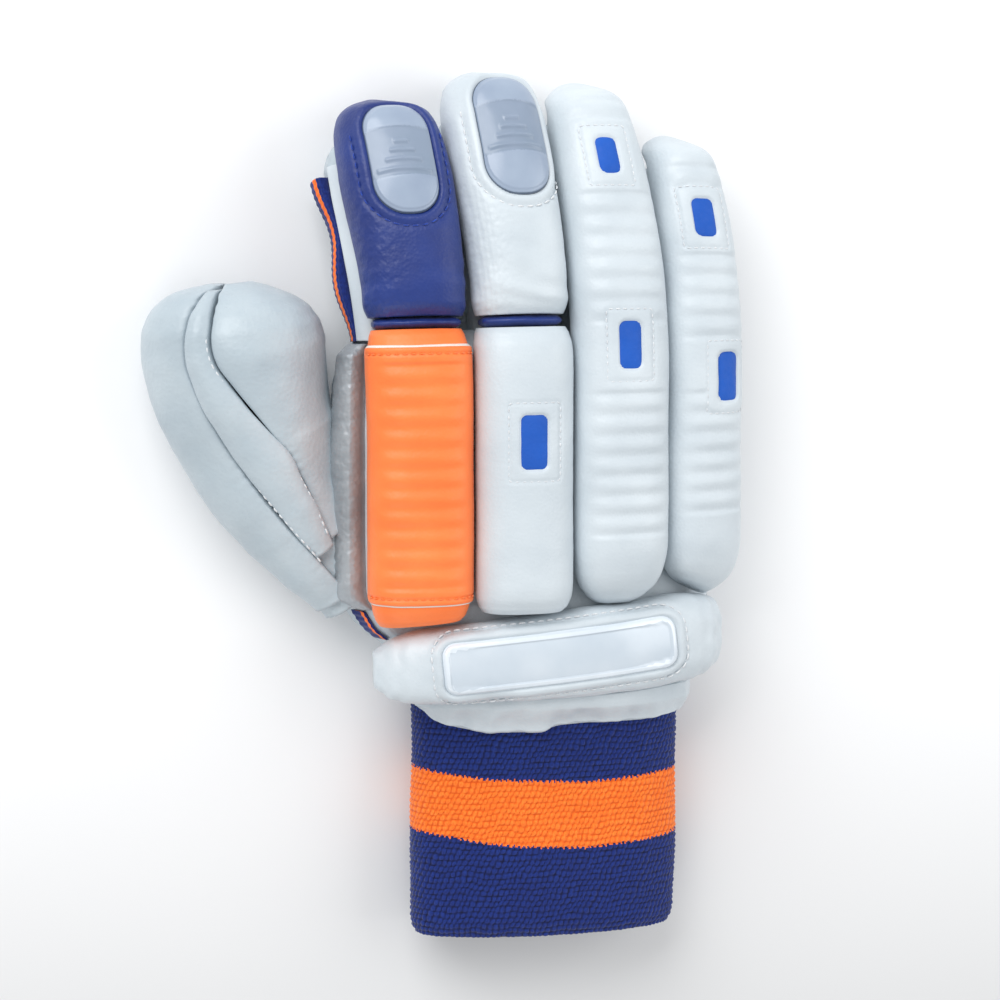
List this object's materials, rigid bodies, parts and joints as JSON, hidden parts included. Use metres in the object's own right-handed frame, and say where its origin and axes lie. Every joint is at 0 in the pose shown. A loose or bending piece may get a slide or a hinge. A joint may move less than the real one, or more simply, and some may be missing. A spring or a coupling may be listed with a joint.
{
  "type": "cricket batting glove",
  "caption": "Right-hand batting glove with padded finger rolls on its back, a padded thumb, a cuff bar and a long knitted wristband, hollow for a hand.",
  "frame": {"origin": "middle of the flat heel of the palm, on the surface that the glove rests on", "axes": "+Y to the fingertips, +X to the little finger's side, +Z out of the back of the hand"},
  "size_m": [0.2067, 0.3031, 0.0622],
  "materials": {
    "white_leather": "white padded leather, fine grain",
    "navy_leather": "navy leather, soft sheen",
    "orange_leather": "orange leather, soft sheen",
    "palm_leather": "pale grey soft leather",
    "silver_leather": "silvered leather",
    "tip_guard": "grey moulded guard, satin gloss",
    "blue_window": "blue leather inset",
    "badge": "clear pale plate, plain",
    "navy_knit": "navy and orange knit"
  },
  "bodies": {
    "root": {"middle_roll": "white_leather", "middle_cap": "white_leather", "ring_roll": "white_leather", "little_roll": "white_leather", "cuff_roll": "white_leather", "wrist_flap": "white_leather", "index_side_band": "white_leather", "index_cap": "navy_leather", "index_hinge_strip": "navy_leather", "middle_hinge_strip": "navy_leather", "index_roll": "orange_leather", "index_sleeve": "orange_leather", "hand": "palm_leather", "index_stall": "palm_leather", "middle_stall": "palm_leather", "ring_stall": "palm_leather", "little_stall": "palm_leather", "thumb_stall": "palm_leather", "thumb_outer_pad": "palm_leather", "thumb_inner_pad": "palm_leather", "thumb_gusset": "palm_leather", "side_bar": "silver_leather", "index_tip_guard": "tip_guard", "middle_tip_guard": "tip_guard", "ring_window_lower": "blue_window", "ring_window_upper": "blue_window", "little_window_lower": "blue_window", "little_window_upper": "blue_window", "middle_window": "blue_window", "badge_plate": "badge", "wristband": "navy_knit", "index_gusset": "navy_knit", "heel_gusset": "navy_knit"}
  },
  "joints": []
}
